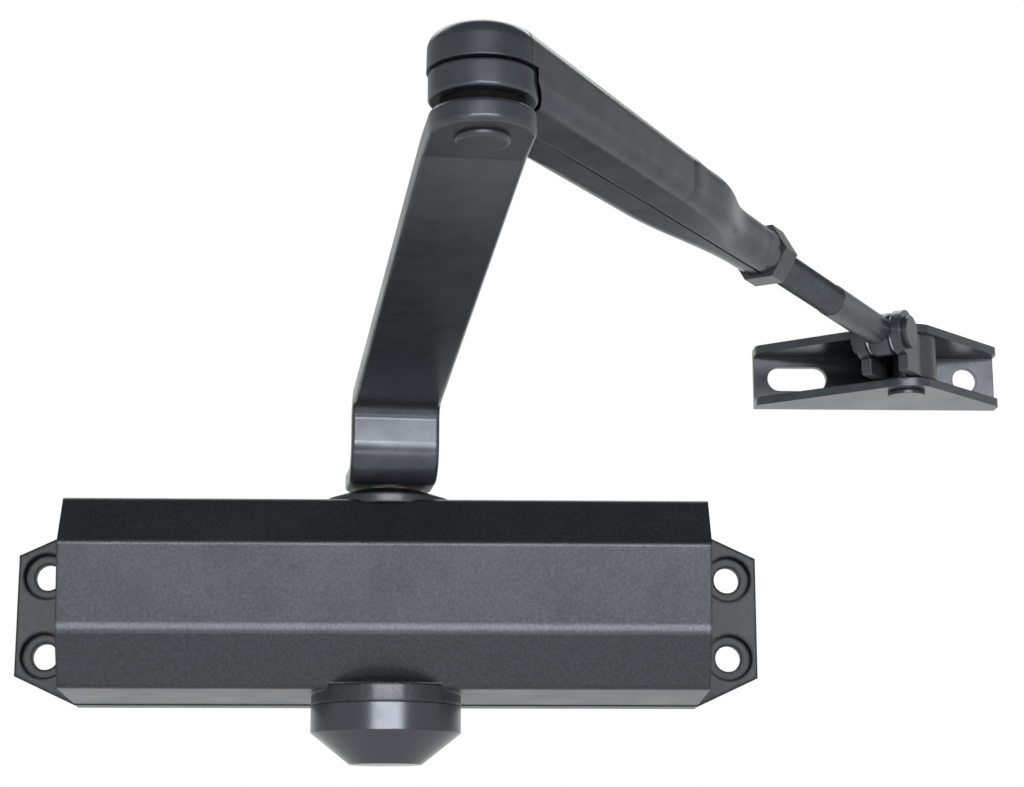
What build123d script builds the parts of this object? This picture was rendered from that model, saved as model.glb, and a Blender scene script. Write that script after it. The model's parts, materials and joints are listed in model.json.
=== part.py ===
from build123d import *
import math
import os

# Hydraulic door closer with a rack and pinion, a flat main arm, a folded forearm and a frame shoe.
# X runs along the body, -Y points out of the door towards the viewer and +Z is up.
# The origin is the middle of the four body screw holes, on the door's face.

# Body casting
body_length = 148.0
nose_depth = 39.0
nose_height = 13.3
brow_depth = 33.0
brow_height = 24.2
chin_depth = 36.5
chin_height = -7.0
keel_depth = 31.0
keel_height = -19.0
back_top = 25.2
back_bottom = -21.4
body_edge_round = 1.6
lug_reach = 14.6
lug_thickness = 5.6
lug_half_height = 14.4
lug_root_half_height = 21.2
screw_inset = 6.6
screw_spacing_z = 19.0
screw_hole_radius = 3.15
screw_head_radius = 5.4
screw_head_depth = 2.8
spindle_depth = 20.0
cylinder_radius = 14.0
boss_radius = 17.3
boss_bottom = -22.2
boss_sink = 1.0

# Gear and piston
gear_module = 1.25
pinion_teeth = 12
pressure_angle = 25.0
gear_backlash = 0.16
pinion_half_width = 8.0
spindle_swing = 150.0
piston_head = 7.8
piston_tail = 19.0
piston_clearance = 0.05
piston_edge_chamfer = 0.8
window_end_gap = 0.7
window_front_gap = 0.5
root_depth_in_modules = 1.25

# Spindle and its bearings
journal_radius = 6.0
running_clearance = 0.05
pinion_root_over_journal = 0.15
bearing_radius = 9.0
bearing_length = 7.5
bearing_inner = 12.0
seal_thickness = 2.0
seal_end_gap = 0.1
square_width = 8.4
square_below_seat = 0.3
collar_radius = 14.4
collar_seat = 23.4
collar_top = 27.8
collar_lip_radius = 8.4
collar_end_gap = 0.2
collar_over_back = 0.4
lower_nut_radius = 13.0
lower_nut_bottom = -25.4
spanner_holes = 4
spanner_hole_radius = 1.2
spanner_hole_inset = 3.2
spanner_hole_depth = 1.8
lower_square_bottom = -31.0

# Bottom cap
cap_radius = 17.35
cap_shoulder = -28.4
cap_bottom = -35.6
cap_tip_radius = 8.3
cap_wall = 1.8
cap_cone_walls = 1.3
cap_edge_round = 0.8

# End plugs, spring and valves
plug_radius = 15.2
plug_thickness = 9.0
plug_hex = 12.0
plug_hex_depth = 5.0
plug_edge_chamfer = 0.5
plug_groove_inset = 0.5
plug_groove_depth = 1.2
plug_seal_side_gap = 0.2
spring_wire_radius = 1.4
spring_radius = 11.0
spring_turns = 6.5
spring_end_gap = 0.1
spring_seat_thickness = 2.0
spring_seat_gap = 0.2
spring_seat_hole_radius = 5.0
ball_radius = 2.4
ball_side_gap = 0.15
ball_seat_gap = 0.02
ball_seat_depth = 6.0
ball_seat_lip = 1.0
oil_hole_overrun = 1.0
retainer_inset = 0.5
retainer_side_gap = 0.02
retainer_end_gap = 0.5
retainer_lip = 1.2
valve_radius = 2.4
valve_length = 16.0
valve_tip_length = 4.0
valve_inset = 1.0
valve_bore_spare = 0.5
valve_point_radius = 0.4
valve_groove_start = 5.0
valve_groove_width = 1.4
valve_groove_depth = 0.7
valve_seal_side_gap = 0.1
slot_width = 1.0
slot_depth = 1.0
closing_valve_inset = 1.2
closing_valve_drop = 6.0
latching_valve_offset = 4.5
latching_valve_drop = 4.6

# Main arm
arm_turn = 6.28
arm_reach = 171.0
strap_thickness = 4.0
root_width = 20.4
elbow_width = 17.8
tab_bottom = 28.2
heel_reach = 16.0
heel_height = 46.4
elbow_plate_length = 11.0
elbow_plate_bottom = 58.0
heel_bend = 6.5
knee_bend = 5.0
elbow_bend = 8.0
strap_edge_round = 0.9
arm_screw_radius = 3.0
arm_screw_length = 12.0
arm_screw_head_radius = 5.6
arm_screw_head_height = 3.6
arm_screw_head_round = 1.2
arm_screw_hex = 4.0
arm_screw_hex_depth = 2.4
arm_washer_thickness = 1.2
arm_washer_overhang = 1.4
arm_washer_hole_gap = 0.2

# Elbow
pin_radius = 4.0
pin_head_radius = 4.6
pin_head_height = 1.1
pin_head_round = 0.7
top_rivet_radius = 5.8
top_rivet_height = 1.4
top_rivet_sink = 0.6
top_rivet_round = 1.0
rivet_side_gap = 0.3
head_clearance = 0.1
spacer_radius = 7.0
spacer_thickness = 1.7
ring_radius = 9.0
ring_height = 4.7
ring_edge_round = 0.5
elbow_gap = 0.4
ring_side_gap = 0.5

# Forearm
head_over_ring = 1.2
forearm_height_at_shoe = 63.6
pressing_width = 18.6
pressing_thickness = 11.6
pressing_end_width = 17.4
pressing_end_thickness = 9.6
neck_width = 10.6
neck_thickness = 9.4
pressing_wall = 1.5
pressing_round = 3.0
neck_round = 4.4
head_step = 0.08
pressing_taper_end = 62.0
pressing_length = 111.0
neck_length = 5.0
neck_steps = 8
front_shoulder_inset = 11.0
front_shoulder_length = 19.0
seam_width = 0.5
seam_start_offset = 0.9
seam_end_offset = -0.5
leaf_step = 0.55
rod_radius = 3.45
plain_rod_radius = 3.6
rod_engagement = 18.0
rod_end_chamfer = 0.6
thread_length = 34.0
nut_width = 11.0
nut_thickness = 5.5
nut_gap = 0.1
eye_radius = 5.0
eye_thickness = 5.0
eye_neck_radius = 3.0
eye_overlap = 0.4
ear_gap = 0.6

# Stirrup and frame shoe
shoe_pivot_x = 123.6
shoe_pivot_depth = 22.0
stirrup_reach = 14.2
stirrup_wall = 2.4
stirrup_half_height = 5.2
barrel_radius = 7.4
ear_radius = 5.3
side_washer_thickness = 0.7
side_washer_inset = 0.6
eye_side_gap = 0.15
washer_gap = 0.05
stirrup_pin_radius = 2.5
stirrup_pin_head_overhang = 1.3
stirrup_pin_head_height = 1.2
shoe_pin_radius = 3.1
shoe_pin_head_radius = 4.4
shoe_pin_head_height = 1.0
shoe_left = 33.6
shoe_right = 26.4
eye_over_shoe_bottom = 11.1
shoe_height = 15.0
shoe_wall = 2.0
shoe_nose_radius = 8.0
shoe_tip_depth = 6.0
shoe_corner_round = 2.6
shoe_hole_radius = 3.05
shoe_hole_offset = 19.2
shoe_slot_length = 14.8
shoe_slot_offset = 22.8

# Sizes that follow from those above
half_length = body_length / 2
screw_spacing_x = body_length + 2 * (lug_reach - screw_inset)
spindle_centre = Vector(0, -spindle_depth, 0)
pitch_radius = gear_module * pinion_teeth / 2
tooth_pitch = math.pi * gear_module
piston_travel = math.radians(spindle_swing) * pitch_radius
piston_radius = cylinder_radius - piston_clearance
window_margin = pitch_radius + gear_module + window_end_gap
window_right = window_margin + piston_travel
piston_left = -window_margin - piston_head
piston_right = window_right + piston_tail
plug_inner = half_length - plug_thickness
arm_direction = Vector(math.sin(math.radians(arm_turn)), -math.cos(math.radians(arm_turn)), 0)
elbow = spindle_centre + arm_direction * arm_reach
shoe_pivot = Vector(shoe_pivot_x, -shoe_pivot_depth, 0)
forearm_span = (shoe_pivot - elbow).length
forearm_plan = (shoe_pivot - elbow).normalized()
eye_distance = forearm_span - stirrup_reach
plate_top = elbow_plate_bottom + strap_thickness
ring_bottom = plate_top + spacer_thickness
ring_top = ring_bottom + ring_height
forearm_height_at_elbow = ring_top + head_over_ring
forearm_drop = math.atan2(forearm_height_at_elbow - forearm_height_at_shoe, eye_distance)
across = Vector(-forearm_plan.Y, forearm_plan.X, 0)
elbow_top = elbow + Vector(0, 0, forearm_height_at_elbow)
forearm_axis = (forearm_plan * math.cos(forearm_drop) - Vector(0, 0, math.sin(forearm_drop))).normalized()
rod_end = eye_distance / math.cos(forearm_drop)
rod_start = pressing_length - rod_engagement
neck_start = pressing_length - neck_length
front_shoulder_end = neck_start - front_shoulder_inset
front_shoulder_start = front_shoulder_end - front_shoulder_length
shoe_bottom = forearm_height_at_shoe - eye_over_shoe_bottom
shoe_top = shoe_bottom + shoe_height
shoe_middle = shoe_bottom + shoe_height / 2
eye_point = elbow + forearm_plan * eye_distance + Vector(0, 0, forearm_height_at_shoe)

bore_plane = Plane(origin=spindle_centre, x_dir=(0, 1, 0), z_dir=(1, 0, 0))
arm_plane = Plane(origin=spindle_centre, x_dir=arm_direction, z_dir=arm_direction.cross(Vector(0, 0, 1)))
forearm_plane = Plane(origin=elbow_top, x_dir=across, z_dir=forearm_axis)
pin_plane = Plane(origin=eye_point, x_dir=forearm_plan, z_dir=across * -1)


def level(point, height):
    """A horizontal plane over a point of the plan."""
    return Plane(origin=(point.X, point.Y, height))


def along(distance):
    """The forearm's cross-section plane at a distance from the elbow."""
    return forearm_plane.offset(distance)


def finish(piece, name):
    """Label one finished piece and write its file."""
    piece.part.label = name
    export_step(piece.part, "parts/" + name + ".step")


def involute(angle, base_radius):
    """A point of the involute of a circle, unrolled by an angle in radians."""
    return (
        base_radius * (math.cos(angle) + angle * math.sin(angle)),
        base_radius * (math.sin(angle) - angle * math.cos(angle)),
    )


os.makedirs("parts", exist_ok=True)

# Body casting, with the cylinder, the spindle bore, the valve bores and the four screw lugs
valve_spots = [
    (-brow_depth + closing_valve_inset, brow_height - closing_valve_drop),
    (-spindle_depth + latching_valve_offset, brow_height - latching_valve_drop),
]

with BuildPart() as body_casting:
    with BuildSketch(Plane.YZ.offset(-half_length)):
        with BuildLine():
            Polyline(
                (0, back_bottom),
                (-keel_depth, keel_height),
                (-chin_depth, chin_height),
                (-nose_depth, nose_height),
                (-brow_depth, brow_height),
                (0, back_top),
                close=True,
            )
        make_face()
    extrude(amount=body_length)
    long_edges = body_casting.edges().filter_by(Axis.X)
    fillet(long_edges.filter_by(lambda e: e.center().Y < -lug_thickness), body_edge_round)
    with BuildSketch(Plane.XZ):
        with BuildLine():
            Polyline(
                (-half_length - lug_reach, -lug_half_height),
                (-half_length, -lug_root_half_height),
                (half_length, -lug_root_half_height),
                (half_length + lug_reach, -lug_half_height),
                (half_length + lug_reach, lug_half_height),
                (half_length, lug_root_half_height),
                (-half_length, lug_root_half_height),
                (-half_length - lug_reach, lug_half_height),
                close=True,
            )
        make_face()
    extrude(amount=lug_thickness)
    with BuildSketch(level(spindle_centre, boss_bottom)):
        Circle(boss_radius)
    extrude(amount=keel_height - boss_bottom + boss_sink)
    with BuildSketch(bore_plane):
        Circle(cylinder_radius)
    extrude(amount=half_length, both=True, mode=Mode.SUBTRACT)
    for side in (-1, 1):
        with BuildSketch(bore_plane.offset(side * half_length)):
            Circle(plug_radius)
        extrude(amount=-side * plug_thickness, mode=Mode.SUBTRACT)
    with BuildSketch(level(spindle_centre, boss_bottom)):
        Circle(bearing_radius)
    extrude(amount=collar_top - boss_bottom, mode=Mode.SUBTRACT)
    with BuildSketch(level(spindle_centre, collar_seat)):
        Circle(collar_radius + running_clearance)
    extrude(amount=collar_top - collar_seat, mode=Mode.SUBTRACT)
    with Locations(Plane.XZ.offset(lug_thickness)):
        with GridLocations(screw_spacing_x, screw_spacing_z, 2, 2):
            CounterBoreHole(screw_hole_radius, screw_head_radius, screw_head_depth)
    with BuildSketch(Plane.YZ.offset(half_length)):
        with Locations(*valve_spots):
            Circle(valve_radius + running_clearance)
    extrude(amount=-valve_length - valve_bore_spare, mode=Mode.SUBTRACT)
finish(body_casting, "body_casting")

# End plugs, each with a hexagon socket, and their sealing rings
for side, name in ((-1, "left"), (1, "right")):
    with BuildPart() as end_plug:
        with BuildSketch(bore_plane.offset(side * half_length)):
            Circle(plug_radius - running_clearance)
        extrude(amount=-side * plug_thickness)
        with BuildSketch(bore_plane.offset(side * (plug_inner + plug_groove_inset + seal_thickness))):
            Circle(plug_radius)
            Circle(plug_radius - plug_groove_depth, mode=Mode.SUBTRACT)
        extrude(amount=-side * seal_thickness, mode=Mode.SUBTRACT)
        with BuildSketch(bore_plane.offset(side * half_length)):
            RegularPolygon(plug_hex / 2, 6, major_radius=False)
        extrude(amount=-side * plug_hex_depth, mode=Mode.SUBTRACT)
        plug_rims = end_plug.edges().filter_by(GeomType.CIRCLE).group_by(Axis.X)
        chamfer(plug_rims[-1 if side > 0 else 0], plug_edge_chamfer)
    finish(end_plug, name + "_end_plug")

    with BuildPart() as plug_seal:
        seal_outer = plug_inner + plug_groove_inset + seal_thickness - plug_seal_side_gap
        with BuildSketch(bore_plane.offset(side * seal_outer)):
            Circle(plug_radius - running_clearance)
            Circle(plug_radius - plug_groove_depth + running_clearance, mode=Mode.SUBTRACT)
        extrude(amount=-side * (seal_thickness - 2 * plug_seal_side_gap))
    finish(plug_seal, name + "_plug_seal")

# Spindle, turned with a pinion in its middle and a square at each end
base_radius = pitch_radius * math.cos(math.radians(pressure_angle))
tip_radius = pitch_radius + gear_module
root_radius = journal_radius + pinion_root_over_journal
square_top = tab_bottom + strap_thickness - square_below_seat
tip_roll = math.sqrt((tip_radius / base_radius) ** 2 - 1)
pitch_roll = math.tan(math.radians(pressure_angle))
half_tooth = math.pi / (2 * pinion_teeth) - gear_backlash / (4 * pitch_radius)
tooth_lean = half_tooth + pitch_roll - math.radians(pressure_angle)
flank = [involute(tip_roll * step / 4, base_radius) for step in range(5)]

with BuildPart() as spindle:
    with BuildSketch(level(spindle_centre, lower_nut_bottom)):
        Circle(journal_radius)
    extrude(amount=collar_top - lower_nut_bottom)
    with BuildSketch(level(spindle_centre, -pinion_half_width)) as teeth:
        Circle(root_radius)
        for tooth in range(pinion_teeth):
            turn = 90.0 + 360.0 * tooth / pinion_teeth
            with BuildLine():
                lower = [
                    (
                        x * math.cos(tooth_lean) + y * math.sin(tooth_lean),
                        y * math.cos(tooth_lean) - x * math.sin(tooth_lean),
                    )
                    for x, y in flank
                ]
                lower = [Vector(x, y).rotate(Axis.Z, turn) for x, y in lower]
                upper = [
                    (
                        x * math.cos(tooth_lean) + y * math.sin(tooth_lean),
                        x * math.sin(tooth_lean) - y * math.cos(tooth_lean),
                    )
                    for x, y in flank
                ]
                upper = [Vector(x, y).rotate(Axis.Z, turn) for x, y in upper]
                Polyline(Vector(0, 0), *lower, *reversed(upper), close=True)
            make_face()
    extrude(amount=2 * pinion_half_width)
    with BuildSketch(level(spindle_centre, lower_square_bottom)):
        Rectangle(square_width, square_width, rotation=arm_turn)
    extrude(amount=lower_nut_bottom - lower_square_bottom)
    with BuildSketch(level(spindle_centre, collar_top)):
        Rectangle(square_width, square_width, rotation=arm_turn)
    extrude(amount=square_top - collar_top)
    with Locations(level(spindle_centre, square_top)):
        Hole(arm_screw_radius + running_clearance, depth=arm_screw_length)
finish(spindle, "spindle")

# Bearings, shaft seals, the top collar and the lower nut, all round the spindle
with BuildPart() as bearings:
    for bottom in (bearing_inner, -bearing_inner - bearing_length):
        with BuildSketch(level(spindle_centre, bottom)):
            Circle(bearing_radius - running_clearance / 2)
            Circle(journal_radius + running_clearance, mode=Mode.SUBTRACT)
        extrude(amount=bearing_length)
finish(bearings, "spindle_bearings")

seal_top = bearing_inner + bearing_length
with BuildPart() as shaft_seals:
    for bottom in (seal_top + seal_end_gap, -seal_top - seal_end_gap - seal_thickness):
        with BuildSketch(level(spindle_centre, bottom)):
            Circle(bearing_radius - 2 * running_clearance)
            Circle(journal_radius + running_clearance, mode=Mode.SUBTRACT)
        extrude(amount=seal_thickness)
finish(shaft_seals, "shaft_seals")

with BuildPart() as top_collar:
    with BuildSketch(Plane(origin=spindle_centre, x_dir=(1, 0, 0), z_dir=(0, -1, 0))):
        with BuildLine():
            Polyline(
                (journal_radius + running_clearance, seal_top + seal_thickness + collar_end_gap),
                (bearing_radius - running_clearance, seal_top + seal_thickness + collar_end_gap),
                (bearing_radius - running_clearance, collar_seat),
                (collar_radius, collar_seat),
                (collar_radius, back_top + collar_over_back),
                (collar_lip_radius, collar_top - collar_end_gap),
                (journal_radius + running_clearance, collar_top - collar_end_gap),
                close=True,
            )
        make_face()
    revolve(axis=Axis(spindle_centre, (0, 0, 1)))
finish(top_collar, "top_collar")

with BuildPart() as lower_nut:
    with BuildSketch(level(spindle_centre, lower_nut_bottom)):
        Circle(lower_nut_radius)
        Circle(journal_radius + running_clearance, mode=Mode.SUBTRACT)
    extrude(amount=boss_bottom - lower_nut_bottom)
    with BuildSketch(level(spindle_centre, lower_nut_bottom)):
        with PolarLocations(lower_nut_radius - spanner_hole_inset, spanner_holes, start_angle=45):
            Circle(spanner_hole_radius)
    extrude(amount=spanner_hole_depth, mode=Mode.SUBTRACT)
finish(lower_nut, "lower_nut")

# Bottom cap, a thin cup over the spindle's lower square
with BuildPart() as bottom_cap:
    with BuildSketch(Plane(origin=spindle_centre, x_dir=(1, 0, 0), z_dir=(0, -1, 0))):
        with BuildLine():
            Polyline(
                (lower_nut_radius + running_clearance, boss_bottom),
                (cap_radius, boss_bottom),
                (cap_radius, cap_shoulder),
                (cap_tip_radius, cap_bottom),
                (0, cap_bottom),
                (0, cap_bottom + cap_wall),
                (cap_tip_radius - cap_wall / 2, cap_bottom + cap_wall),
                (cap_radius - cap_wall * cap_cone_walls, cap_shoulder + cap_wall / 2),
                (lower_nut_radius + running_clearance, cap_shoulder + cap_wall),
                close=True,
            )
        make_face()
    revolve(axis=Axis(spindle_centre, (0, 0, 1)))
    fillet(bottom_cap.edges().filter_by(GeomType.CIRCLE).group_by(Axis.Z)[0], cap_edge_round)
finish(bottom_cap, "bottom_cap")

# Piston, with a window for the pinion, a rack cut along the window's back wall and a check valve
rack_line = pitch_radius
rack_root = rack_line + root_depth_in_modules * gear_module
window_front = -tip_radius - window_front_gap
rack_teeth = int((window_right + window_margin) / tooth_pitch) + 1
slope = math.tan(math.radians(pressure_angle))

with BuildPart() as piston:
    with BuildSketch(bore_plane.offset(piston_left)):
        Circle(piston_radius)
    extrude(amount=piston_right - piston_left)
    with BuildSketch(level(spindle_centre, -cylinder_radius)):
        with BuildLine():
            Polyline(
                (-window_margin, window_front),
                (window_right, window_front),
                (window_right, rack_root),
                (-window_margin, rack_root),
                close=True,
            )
        make_face()
    extrude(amount=2 * cylinder_radius, mode=Mode.SUBTRACT)
    with BuildSketch(level(spindle_centre, -pinion_half_width)):
        for tooth in range(-2, rack_teeth + 2):
            middle = (tooth + 0.5) * tooth_pitch
            half_root = tooth_pitch / 4 + slope * (rack_root - rack_line)
            half_tip = tooth_pitch / 4 - slope * gear_module
            if middle - half_root > -window_margin and middle + half_root < window_right:
                with BuildLine():
                    Polyline(
                        (middle - half_root, rack_root),
                        (middle - half_tip, rack_line - gear_module),
                        (middle + half_tip, rack_line - gear_module),
                        (middle + half_root, rack_root),
                        close=True,
                    )
                make_face()
    extrude(amount=2 * pinion_half_width)
    with BuildSketch(bore_plane.offset(piston_right)):
        Circle(ball_radius + ball_side_gap)
    extrude(amount=-piston_tail + ball_seat_depth, mode=Mode.SUBTRACT)
    with BuildSketch(bore_plane.offset(piston_right)):
        Circle(ball_radius - ball_seat_lip)
    extrude(amount=-piston_tail - oil_hole_overrun, mode=Mode.SUBTRACT)
    chamfer(piston.edges().filter_by(GeomType.CIRCLE).group_by(Axis.X)[0], piston_edge_chamfer)
finish(piston, "piston")

ball_middle = piston_right - piston_tail + ball_seat_depth + ball_seat_gap + ball_radius
with BuildPart() as check_ball:
    with Locations(spindle_centre + Vector(ball_middle, 0, 0)):
        Sphere(ball_radius)
finish(check_ball, "check_valve_ball")

retainer_length = piston_tail - ball_seat_depth - 2 * ball_radius - retainer_end_gap - retainer_inset
with BuildPart() as check_retainer:
    with BuildSketch(bore_plane.offset(piston_right - retainer_inset)):
        Circle(ball_radius + ball_side_gap - retainer_side_gap)
        Circle(ball_radius - retainer_lip, mode=Mode.SUBTRACT)
    extrude(amount=-retainer_length)
finish(check_retainer, "check_valve_retainer")

# Closing spring between its seat and the piston
spring_start = -plug_inner + spring_seat_thickness
spring_length = piston_left - spring_start - 2 * (spring_wire_radius + spring_end_gap)

with BuildPart() as spring_seat:
    with BuildSketch(bore_plane.offset(-plug_inner)):
        Circle(cylinder_radius - spring_seat_gap)
        Circle(spring_seat_hole_radius, mode=Mode.SUBTRACT)
    extrude(amount=spring_seat_thickness)
finish(spring_seat, "spring_seat")

spring_foot = spindle_centre + Vector(spring_start + spring_wire_radius + spring_end_gap, 0, 0)
with BuildPart() as closing_spring:
    with BuildLine():
        coil = Helix(
            pitch=spring_length / spring_turns,
            height=spring_length,
            radius=spring_radius,
            center=spring_foot,
            direction=(1, 0, 0),
        )
    with BuildSketch(Plane(origin=coil @ 0, z_dir=coil % 0)):
        Circle(spring_wire_radius)
    sweep(path=coil, is_frenet=True)
finish(closing_spring, "closing_spring")

# Speed valves on the right end, with their sealing rings
valve_groove_end = valve_groove_start + valve_groove_width
for spot, name in zip(valve_spots, ("closing", "latching")):
    valve_plane = Plane(origin=(half_length - valve_inset, *spot), x_dir=(0, 1, 0), z_dir=(-1, 0, 0))
    with BuildPart() as speed_valve:
        with BuildSketch(Plane(origin=valve_plane.origin, x_dir=(-1, 0, 0), z_dir=(0, -1, 0))):
            with BuildLine():
                Polyline(
                    (0, 0),
                    (0, valve_radius),
                    (valve_groove_start, valve_radius),
                    (valve_groove_start, valve_radius - valve_groove_depth),
                    (valve_groove_end, valve_radius - valve_groove_depth),
                    (valve_groove_end, valve_radius),
                    (valve_length - valve_tip_length - valve_inset, valve_radius),
                    (valve_length - valve_inset, valve_point_radius),
                    (valve_length - valve_inset, 0),
                    close=True,
                )
            make_face()
        revolve(axis=Axis(valve_plane.origin, (1, 0, 0)))
        with BuildSketch(valve_plane):
            Rectangle(slot_width, 3 * valve_radius)
        extrude(amount=slot_depth, mode=Mode.SUBTRACT)
    finish(speed_valve, name + "_speed_valve")

    with BuildPart() as valve_seal:
        with BuildSketch(valve_plane.offset(valve_groove_start + valve_seal_side_gap)):
            Circle(valve_radius)
            Circle(valve_radius - valve_groove_depth + running_clearance, mode=Mode.SUBTRACT)
        extrude(amount=valve_groove_width - 2 * valve_seal_side_gap)
    finish(valve_seal, name + "_valve_seal")

# Main arm, a strap bent up at the heel and levelled again at the elbow
strap_middle = tab_bottom + strap_thickness / 2
plate_middle = elbow_plate_bottom + strap_thickness / 2
square_hole = square_width + 2 * running_clearance

with BuildPart() as main_arm:
    with BuildSketch(arm_plane):
        with BuildLine():
            FilletPolyline(
                (-root_width, strap_middle),
                (heel_reach, strap_middle),
                (heel_reach, heel_height),
                (arm_reach - elbow_plate_length, plate_middle),
                (arm_reach + elbow_width, plate_middle),
                radius=[heel_bend, knee_bend, elbow_bend],
            )
            offset(amount=strap_thickness / 2, side=Side.BOTH, kind=Kind.INTERSECTION)
        make_face()
    extrude(amount=root_width, both=True)
    with BuildSketch(Plane(origin=spindle_centre, x_dir=arm_direction, z_dir=(0, 0, 1))):
        with BuildLine():
            root_end = ThreePointArc((0, root_width / 2), (-root_width / 2, 0), (0, -root_width / 2))
            elbow_end = ThreePointArc(
                (arm_reach, -elbow_width / 2), (arm_reach + elbow_width / 2, 0), (arm_reach, elbow_width / 2)
            )
            Line(root_end @ 1, elbow_end @ 0)
            Line(elbow_end @ 1, root_end @ 0)
        make_face()
    extrude(amount=2 * plate_top, mode=Mode.INTERSECT)
    with BuildSketch(level(spindle_centre, tab_bottom)):
        Rectangle(square_hole, square_hole, rotation=arm_turn)
    extrude(amount=strap_thickness, mode=Mode.SUBTRACT)
    strap_edges = main_arm.edges().filter_by(lambda e: e.length > 2 * heel_bend)
    fillet(strap_edges.filter_by(lambda e: abs(e.tangent_at(0.5).Z) < 0.9), strap_edge_round)
    with BuildSketch(level(elbow, elbow_plate_bottom)):
        Circle(pin_radius + running_clearance)
    extrude(amount=strap_thickness, mode=Mode.SUBTRACT)
finish(main_arm, "main_arm")

# Arm screw and its washer, on top of the spindle
washer_seat = tab_bottom + strap_thickness
screw_seat = washer_seat + arm_washer_thickness
with BuildPart() as arm_washer:
    with BuildSketch(level(spindle_centre, washer_seat)):
        Circle(arm_screw_head_radius + arm_washer_overhang)
        Circle(arm_screw_radius + arm_washer_hole_gap, mode=Mode.SUBTRACT)
    extrude(amount=arm_washer_thickness)
finish(arm_washer, "arm_screw_washer")

with BuildPart() as arm_screw:
    with BuildSketch(level(spindle_centre, screw_seat - arm_screw_length)):
        Circle(arm_screw_radius)
    extrude(amount=arm_screw_length)
    with BuildSketch(level(spindle_centre, screw_seat)):
        Circle(arm_screw_head_radius)
    extrude(amount=arm_screw_head_height)
    fillet(arm_screw.edges().filter_by(GeomType.CIRCLE).group_by(Axis.Z)[-1], arm_screw_head_round)
    with BuildSketch(level(spindle_centre, screw_seat + arm_screw_head_height)):
        RegularPolygon(arm_screw_hex / 2, 6, major_radius=False)
    extrude(amount=-arm_screw_hex_depth, mode=Mode.SUBTRACT)
finish(arm_screw, "arm_screw")

# Elbow: a pin with two heads, a thin spacer and a plain ring
head_seat = forearm_height_at_elbow + pressing_thickness / 2 - top_rivet_sink
with BuildPart() as elbow_pin:
    with BuildSketch(level(elbow, elbow_plate_bottom - pin_head_height)):
        Circle(pin_head_radius)
    extrude(amount=pin_head_height)
    fillet(elbow_pin.edges().filter_by(GeomType.CIRCLE).group_by(Axis.Z)[0], pin_head_round)
    with BuildSketch(level(elbow, elbow_plate_bottom)):
        Circle(pin_radius)
    extrude(amount=head_seat + head_clearance - elbow_plate_bottom)
    with BuildSketch(level(elbow, head_seat + head_clearance)):
        Circle(top_rivet_radius)
    extrude(amount=top_rivet_height)
    fillet(elbow_pin.edges().filter_by(GeomType.CIRCLE).group_by(Axis.Z)[-1], top_rivet_round)
finish(elbow_pin, "elbow_pin")

with BuildPart() as elbow_spacer:
    with BuildSketch(level(elbow, plate_top)):
        Circle(spacer_radius)
        Circle(pin_radius + running_clearance, mode=Mode.SUBTRACT)
    extrude(amount=spacer_thickness)
finish(elbow_spacer, "elbow_spacer")

with BuildPart() as elbow_ring:
    with BuildSketch(level(elbow, ring_bottom)):
        Circle(ring_radius)
        Circle(pin_radius + running_clearance, mode=Mode.SUBTRACT)
    extrude(amount=ring_height)
    outer_rims = elbow_ring.edges().filter_by(GeomType.CIRCLE).sort_by(SortBy.RADIUS)[-2:]
    fillet(outer_rims, ring_edge_round)
finish(elbow_ring, "elbow_ring")

# Forearm pressing: a folded steel channel with a round head over the elbow and a neck for the rod
def drawn_in(distance, start, end):
    """How far a side has drawn in to the neck, from 0 to 1, at a distance from the elbow."""
    share = min(1.0, max(0.0, (distance - start) / (end - start)))
    return (1 - math.cos(math.pi * share)) / 2


side_draw = (pressing_end_width - neck_width) / 2
seam_middle = (pressing_length + ring_radius) / 2
seam_length = pressing_length - ring_radius
seam_lean = math.degrees(math.atan2(seam_end_offset - seam_start_offset, seam_length))
seam_offset = (seam_start_offset + seam_end_offset) / 2
underside = Plane(origin=elbow_top, x_dir=forearm_axis, z_dir=forearm_plane.y_dir)

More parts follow.
